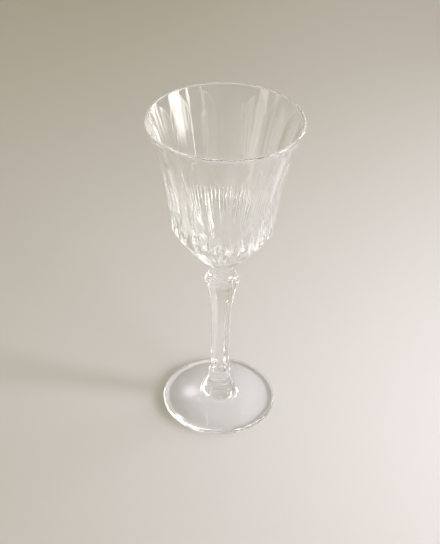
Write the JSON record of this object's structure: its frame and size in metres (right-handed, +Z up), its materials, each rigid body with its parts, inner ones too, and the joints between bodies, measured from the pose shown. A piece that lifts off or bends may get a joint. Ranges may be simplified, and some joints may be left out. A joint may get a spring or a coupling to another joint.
{
  "type": "wine glass",
  "caption": "Stemmed wine glass in clear cut crystal: a flared bowl with long flutes and prism cuts, a short collar, a faceted stem with a knop, and a round foot that stands flat.",
  "frame": {"origin": "on the table, under the middle of the foot", "axes": "+Z up along the stem towards the rim; the picture is taken from -Y, where an edge of the stem and a flute of the bowl face the camera to within 3.25 degrees"},
  "size_m": [0.0846, 0.0846, 0.195],
  "materials": {
    "crystal": "clear, fire-polished"
  },
  "bodies": {
    "root": {"bowl": "crystal", "collar": "crystal", "stem": "crystal", "foot": "crystal"}
  },
  "joints": []
}
